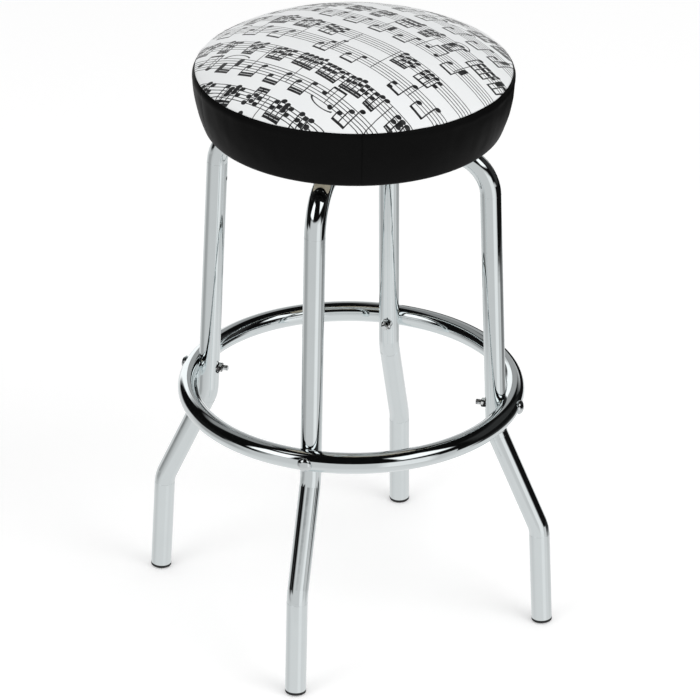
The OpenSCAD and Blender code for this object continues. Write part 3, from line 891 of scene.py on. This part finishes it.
def new_tree(name, **sockets):
    tree = bpy.data.node_groups.new(name, "GeometryNodeTree")
    tree.interface.new_socket("Geometry", in_out="OUTPUT", socket_type="NodeSocketGeometry")
    tree.interface.new_socket("Geometry", in_out="INPUT", socket_type="NodeSocketGeometry")
    for label, kind in sockets.items():
        tree.interface.new_socket(label.replace("_", " "), in_out="INPUT", socket_type="NodeSocket" + kind)
    given = tree.nodes.new("NodeGroupInput")
    return tree, {out.name: Wire(tree, out) for out in given.outputs if out.name}


def end_tree(tree, shape, material):
    """Realize the shape, shade it smooth, give it its material and send it out."""
    whole = node_of(tree, "GeometryNodeRealizeInstances", Geometry=shape)
    smooth = node_of(tree, "GeometryNodeSetShadeSmooth", Geometry=whole)
    dressed = node_of(tree, "GeometryNodeSetMaterial", Geometry=smooth, Material=material)
    in_order(tree, "NodeGroupOutput", dressed)


print("tree helpers ready")

# %% Tree that turns a profile
SEGMENTS = 256
SAME_POINT = 1e-6


def turning_tree():
    tree, given = new_tree("turned_form", Profile_points="Int", Segments="Int", Material="Material")
    rows = given["Profile points"]
    grid = node_of(tree, "GeometryNodeMeshGrid", Size_X=1.0, Size_Y=1.0,
                   Vertices_X=rows, Vertices_Y=given["Segments"] + 1)
    place = node_of(tree, "GeometryNodeInputPosition")
    across, round_it, _ = split(tree, place)
    picked = tree.nodes.new("GeometryNodeSampleIndex")
    picked.data_type = "FLOAT_VECTOR"
    feed(tree, picked, Geometry=given["Geometry"], Value=place,
         Index=((across + 0.5) * (rows - 1)).sum("ROUND"))
    turn = node_of(tree, "ShaderNodeVectorRotate", Vector=picked, Angle=(round_it + 0.5) * (2 * math.pi))
    moved = node_of(tree, "GeometryNodeSetPosition", Geometry=grid, Position=turn)
    closed = node_of(tree, "GeometryNodeMergeByDistance", Geometry=moved, Distance=SAME_POINT)
    end_tree(tree, closed, given["Material"])
    return tree


TURNING = turning_tree()


def turned(name, line, material, segments=SEGMENTS):
    points = [(r, 0, z) for r, z in line]
    thing = put_mesh(name, points, edges=[(i, i + 1) for i in range(len(line) - 1)])
    sizes = {"Profile points": len(line), "Segments": segments, "Material": material}
    return run_tree(thing, TURNING, sizes)


seat_top = turned("seat_top", crown, top_vinyl)
seat_band = turned("seat_band", [crown[-1], *band], band_vinyl)
print("top faces", len(seat_top.data.polygons), "band faces", len(seat_band.data.polygons))

# %% [markdown]
# A turned form is too perfect for upholstery. Cloth physics blows up a coarse copy of the closed
# form, held at the seam and under the board. The clean mesh then borrows only the uneven part of
# that movement, so the cover gets its small swells and the measured profile stays.

# %% Coarse copy that the cloth physics moves
VOXEL = 0.006
SEAM_HOLD = 0.9
HOLD_BELOW = 0.004


def coarse_copy():
    """The crown and side, shut by a flat base at the end of the roll, in even faces."""
    closed = turned("cushion_guide", [*crown, *side, (0, side[-1][1])], band_vinyl)
    remesh = closed.modifiers.new("remesh", "REMESH")
    remesh.mode, remesh.voxel_size = "VOXEL", VOXEL
    settle(closed)
    return closed


def hold(guide):
    """A group of points that stay: along the seam, and from just below the board's top."""
    held = guide.vertex_groups.new(name="held")
    for i, v in enumerate(guide.data.vertices):
        r = math.hypot(v.co.x, v.co.y)
        at_seam = math.hypot(r - SEAM_R, v.co.z - seam_z) < VOXEL * SEAM_HOLD
        held.add([i], 1.0 if at_seam or v.co.z < board_high.z - HOLD_BELOW else 0.0, "REPLACE")
    return held.name


print("coarse faces are", VOXEL * 1000, "mm wide")

# %% Let cloth physics move it
SIM_FRAMES = 16
MOVE_CAP = 0.004
NO_LENGTH = 1e-9


def blown_moves():
    """Rest places of the coarse copy, and how far each one moves."""
    guide = coarse_copy()
    rest = [v.co.copy() for v in guide.data.vertices]
    held = hold(guide)
    cloth = guide.modifiers.new("cloth", "CLOTH")
    cloth.settings.quality = 5
    cloth.settings.mass = 0.3
    cloth.settings.tension_stiffness = 30
    cloth.settings.compression_stiffness = 30
    cloth.settings.shear_stiffness = 10
    cloth.settings.bending_stiffness = 2
    cloth.settings.use_pressure = True
    cloth.settings.uniform_pressure_force = 5
    cloth.settings.shrink_min = -0.012
    cloth.settings.vertex_group_mass = held
    cloth.settings.effector_weights.gravity = 0
    cloth.point_cache.frame_start, cloth.point_cache.frame_end = 1, SIM_FRAMES
    for step in range(1, SIM_FRAMES + 1):
        bpy.context.scene.frame_set(step)
    blown = guide.evaluated_get(bpy.context.evaluated_depsgraph_get()).to_mesh()
    moves = []
    for before, after in zip(rest, blown.vertices):
        move = after.co - before
        moves.append(move * min(1, MOVE_CAP / max(move.length, NO_LENGTH)))
    bpy.context.scene.frame_set(1)
    bpy.data.objects.remove(guide)
    return rest, moves


guide_rest, guide_moves = blown_moves()
print("coarse points", len(guide_rest), "largest move",
      round(max(m.length for m in guide_moves) * 1000, 2), "mm")

# %% Borrow the uneven part of the movement
UNEVEN_SHARE = 0.45
NEIGHBOURS = 7


def moves_near(points):
    """The coarse copy's moves at other points. Its nearest points count most."""
    tree = kdtree.KDTree(len(guide_rest))
    for i, co in enumerate(guide_rest):
        tree.insert(co, i)
    tree.balance()
    moves = []
    for co in points:
        total, weight = Vector(), 0.0
        for _, i, distance in tree.find_n(co, NEIGHBOURS):
            share = 1 / (distance + VOXEL / 3) ** 2
            total += guide_moves[i] * share
            weight += share
        moves.append(total / weight)
    return moves


def borrow(thing, taken):
    """Move each ring of points by its moves less their mean, and leave the pole where it is."""
    points = thing.data.vertices
    moves = moves_near([v.co for v in points])
    rings = {}
    for v in points:
        rings.setdefault((round(math.hypot(v.co.x, v.co.y), 5), round(v.co.z, 5)), []).append(v.index)
    for (r, _), ids in rings.items():
        flat = {i: Vector((*points[i].co.xy, 0)).normalized() for i in ids}
        outward = sum(moves[i].dot(flat[i]) for i in ids) / len(ids)
        lift = sum(moves[i].z for i in ids) / len(ids)
        for i in ids:
            moves[i] -= flat[i] * outward + Vector((0, 0, lift))
            if r == 0:
                moves[i] = Vector()
    for v, move in zip(points, moves):
        v.co += move * taken
    return max(m.length for m in moves) * taken


if guide_rest:
    print("top unevenness", round(borrow(seat_top, UNEVEN_SHARE) * 1000, 2), "mm")
    print("band unevenness", round(borrow(seat_band, UNEVEN_SHARE) * 1000, 2), "mm")

# %% [markdown]
# The band is a flat strip pulled round a taper, so it puckers: fine folds run down from the seam,
# and the hem under the board is gathered into pleats. The seam allowance inside makes a low ridge
# just below the crease. All are small moves of the mesh's own points, by sums and a fixed noise.

# %% Puckers, ridge and pleats
FOLD_DEPTH = 0.0009
FOLD_SPREAD, FOLD_SEED = 7, 4.7
FOLD_FADE = 1.2
# How fine each of two noises is, and its share
WIDE_FOLDS, FINE_FOLDS = (2.3, 0.6), (6.1, 0.4)
RIDGE_DEPTH = 0.00035
RIDGE_BELOW, RIDGE_W = 0.0085, 0.0028
PLEAT_DEPTH = 0.0005
PLEAT_PAIRS, PLEAT_DRIFT = 23, 5


def round_the_seat(turn, spread, seed):
    """A place in the noise. Its wider rings give more waves round the seat."""
    return Vector((math.cos(turn) * spread, math.sin(turn) * spread, seed))


def pucker(thing):
    roll_low = roll_mid[1] - ROLL_R
    for v in thing.data.vertices:
        turn = math.atan2(v.co.y, v.co.x)
        r = math.hypot(v.co.x, v.co.y)
        at = round_the_seat(turn, FOLD_SPREAD, FOLD_SEED)
        folds = sum(noise.noise(at * fine) * share for fine, share in (WIDE_FOLDS, FINE_FOLDS))
        drop = min(1, (seam_z - v.co.z) / (seam_z - roll_low))
        if r > roll_mid[0]:
            fade = math.sin(math.pi * drop) * math.exp(-FOLD_FADE * drop)
            ridge = math.exp(-(((seam_z - v.co.z) - RIDGE_BELOW) / RIDGE_W) ** 2)
            v.co += round_the_seat(turn, 1, 0) * (FOLD_DEPTH * folds * fade + RIDGE_DEPTH * ridge)
        pleat = abs(math.sin(turn * PLEAT_PAIRS + noise.noise(at) * PLEAT_DRIFT))
        inward = max(0, min(1, (roll_mid[0] - r) / ROLL_R))
        v.co.z -= PLEAT_DEPTH * pleat * math.sin(math.pi * inward) ** 0.5


pucker(seat_band)
print("band folds under", FOLD_DEPTH * 1000, "mm")

# %% [markdown]
# Stitching never runs quite level. Both covers take the same slow wave near the seam, from the
# same noise, so that the seam stays closed.

# %% Wave of the seam
WAVE = 0.0006
WAVE_REACH = 0.009
WAVE_SPREAD, WAVE_SEED = 6, 2.9


def wave_seam(thing):
    for v in thing.data.vertices:
        turn = math.atan2(v.co.y, v.co.x)
        from_seam = math.hypot(math.hypot(v.co.x, v.co.y) - SEAM_R, v.co.z - seam_z + SEAM_ROLL)
        fade = math.exp(-(from_seam / WAVE_REACH) ** 2)
        v.co.z += WAVE * fade * noise.noise(round_the_seat(turn, WAVE_SPREAD, WAVE_SEED))


for cover in (seat_top, seat_band):
    wave_seam(cover)
print("seam waves", WAVE * 1000, "mm at most")

# %% [markdown]
# So far each cover is a sheet with no thickness. A Solidify modifier gives it an inner wall and
# closes its edges. The wall is a little thinner than the gap to the board, so the two stay apart.

# %% Give both covers their thickness
WALL_SHARE = 0.8


def thicken(thing):
    wall = thing.modifiers.new("cover_wall", "SOLIDIFY")
    wall.thickness, wall.offset = COVER_T * WALL_SHARE, -1
    wall.use_even_offset = True
    settle(thing)
    for face in thing.data.polygons:
        face.use_smooth = True


for cover in (seat_top, seat_band):
    thicken(cover)
    print(cover.name, "closed with", len(cover.data.polygons), "faces")

# %% [markdown]
# ## Threads
# The ring bolts end in a short stretch of bare thread behind their nuts. A spiral curve swept
# with a three-sided profile makes one ridge, and the tree sets a copy on each bolt.

# %% Where the bare thread lies
THREAD_PITCH = 0.00127
THREAD_RIDGE = 0.0004
THREAD_END = 0.0006
THREAD_STEPS = 20
OFF_AXIS = 0.05
CLOSE = 0.0001
bolt_points = [v.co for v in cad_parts["ring_bolts"].data.vertices if v.co.x > OFF_AXIS]
nut_points = [v.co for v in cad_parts["ring_nuts"].data.vertices if v.co.x > OFF_AXIS]
tip_r, nut_r = min(co.x for co in bolt_points), min(co.x for co in nut_points)
bolt_z = (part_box("ring_nuts")[0].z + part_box("ring_nuts")[1].z) / 2
shank_r = max(abs(co.y) for co in bolt_points if abs(co.x - tip_r) < CLOSE)
print("bare thread", round((nut_r - tip_r) * 1000, 2), "mm, shank radius", round(shank_r * 1000, 3), "mm")

# %% Tree that winds a thread on each bolt
def facing_out(tree, axis):
    """Turns an instance so that this axis of it points away from the stool's axis."""
    x, y, _ = split(tree, node_of(tree, "GeometryNodeInputPosition"))
    aimed = node_of(tree, "FunctionNodeAlignRotationToVector", Vector=join(tree, x, y, 0.0))
    aimed.axis = axis
    return aimed


def thread_tree():
    tree, given = new_tree("bolt_threads", Shank_radius="Float", Pitch="Float", Length="Float",
                           Ridge="Float", Material="Material")
    radius, length = given["Shank radius"], given["Length"]
    wound = node_of(tree, "GeometryNodeCurveSpiral", Resolution=THREAD_STEPS, Start_Radius=radius,
                    End_Radius=radius, Height=length, Rotations=length / given["Pitch"])
    edge = node_of(tree, "GeometryNodeCurvePrimitiveCircle", Resolution=3, Radius=given["Ridge"])
    ridge = node_of(tree, "GeometryNodeCurveToMesh", Curve=wound, Profile_Curve=edge, Fill_Caps=True)
    copies = node_of(tree, "GeometryNodeInstanceOnPoints", Points=given["Geometry"], Instance=ridge,
                     Rotation=facing_out(tree, "Z"))
    end_tree(tree, copies, given["Material"])
    return tree


def on_each_bolt(name, r):
    """An object with one point on each ring bolt's axis, at a distance from the stool's axis."""
    return put_mesh(name, [(r, 0, bolt_z), (0, r, bolt_z), (-r, 0, bolt_z), (0, -r, bolt_z)])


thread_start = tip_r + THREAD_END
threads = run_tree(on_each_bolt("ring_bolt_threads", thread_start), thread_tree(),
                   {"Shank radius": shank_r, "Pitch": THREAD_PITCH, "Length": nut_r - thread_start,
                    "Ridge": THREAD_RIDGE, "Material": nut_chrome})
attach(threads, "frame")
print("thread faces", len(threads.data.polygons))

# %% [markdown]
# ## Dome covers
# The photographed heads are full domes whose edge rolls back to the tube, which gives each a dark
# outline. A Geometry Nodes tree presses half of a sphere to that shape, and sets one over each
# head of the packed bolts.

# %% Where the domes sit
DOME_R = 0.0088
DOME_H = 0.0056
DOME_BACK = 0.0007
DOME_SEGMENTS, DOME_RINGS = 48, 32
PAST_NUT = 0.02


def off_bolt_axis(co):
    return math.hypot(co.y, co.z - bolt_z)


head_points = [co for co in bolt_points if co.x > nut_r + PAST_NUT]
head_rim = max(off_bolt_axis(co) for co in head_points)
head_r = max(co.x for co in head_points if off_bolt_axis(co) > head_rim - CLOSE)
print("packed heads", round(head_rim * 2000, 2), "mm wide, seated at", round(head_r * 1000, 2), "mm")

# %% Tree that domes each head
def dome_tree():
    tree, given = new_tree("dome_heads", Radius="Float", Height="Float", Back="Float", Material="Material")
    ball = node_of(tree, "GeometryNodeMeshUVSphere", Segments=DOME_SEGMENTS, Rings=DOME_RINGS, Radius=1.0)
    x, y, z = split(tree, node_of(tree, "GeometryNodeInputPosition"))
    rise = z.most(0) * given["Height"] + z.sum("MINIMUM", 0) * given["Back"]
    pressed = node_of(tree, "GeometryNodeSetPosition", Geometry=ball,
                      Position=join(tree, x * given["Radius"], y * given["Radius"], rise))
    copies = node_of(tree, "GeometryNodeInstanceOnPoints", Points=given["Geometry"], Instance=pressed,
                     Rotation=facing_out(tree, "Z"))
    end_tree(tree, copies, given["Material"])
    return tree


domes = run_tree(on_each_bolt("ring_bolt_domes", head_r), dome_tree(),
                 {"Radius": DOME_R, "Height": DOME_H, "Back": DOME_BACK, "Material": bolt_chrome})
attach(domes, "frame")
print("dome faces", len(domes.data.polygons))

# %% [markdown]
# ## Foot rims
# Each tube ends in a black plastic rim, deeper in the photograph than the packed plug's own edge.
# One rim is turned from its profile, and a tree sets a copy at each foot, leaning with the leg.

# %% Profile of a rim
RIM_R = 0.01275
RIM_LOW = 0.0013
RIM_HIGH = 0.0051
RIM_ROUND = 0.0011
RIM_BORE = 0.0104
RIM_STEPS = 6
RIM_SEGMENTS = 64
LEG_COUNT = 4
FOOT_R = 0.247
FOOT_BEND_R = 0.2401
FOOT_BEND_Z = 0.1299
foot_lean = math.atan2(FOOT_R - FOOT_BEND_R, FOOT_BEND_Z)


def rim_line():
    """Radius and height round the rim's section, up the bore and down the outside."""
    line = [(RIM_BORE, RIM_LOW), (RIM_BORE, RIM_HIGH), (RIM_R, RIM_HIGH)]
    for i in range(RIM_STEPS + 1):
        turn = math.pi / 2 * i / RIM_STEPS
        line.append((RIM_R - RIM_ROUND * (1 - math.cos(turn)), RIM_LOW + RIM_ROUND * (1 - math.sin(turn))))
    return [*line, line[0]]


print("rim points", len(rim_line()), "lean", round(math.degrees(foot_lean), 2), "degrees")

# %% Tree that sets a copy at each foot
def feet_tree():
    tree, given = new_tree("copies_at_feet", Foot_radius="Float", Lean="Float", Material="Material")
    spots = node_of(tree, "GeometryNodeMeshCircle", Vertices=LEG_COUNT, Radius=given["Foot radius"])
    outward = facing_out(tree, "X")
    outward.pivot_axis = "Z"
    lean = node_of(tree, "FunctionNodeEulerToRotation", Euler=join(tree, 0.0, given["Lean"] * -1, 0.0))
    leant = node_of(tree, "FunctionNodeRotateRotation", Rotation=outward, Rotate_By=lean)
    leant.rotation_space = "LOCAL"
    copies = node_of(tree, "GeometryNodeInstanceOnPoints", Points=spots, Instance=given["Geometry"],
                     Rotation=leant)
    end_tree(tree, copies, given["Material"])
    return tree


rims = turned("foot_rims", rim_line(), rim_plastic, RIM_SEGMENTS)
rims = run_tree(rims, feet_tree(), {"Foot radius": FOOT_R, "Lean": foot_lean, "Material": rim_plastic})
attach(rims, "frame")
rim_foot = min(v.co.z for v in rims.data.vertices)
print("rim faces", len(rims.data.polygons), "lowest", round(rim_foot * 1000, 2), "mm")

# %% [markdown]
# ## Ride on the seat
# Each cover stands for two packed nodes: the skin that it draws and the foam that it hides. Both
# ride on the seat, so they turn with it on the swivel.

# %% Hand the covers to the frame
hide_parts("seat_top_panel", "seat_foam")
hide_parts("seat_side_band", "seat_edge_foam")
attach(seat_top, "seat")
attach(seat_band, "seat")
print("covers ride on the seat")
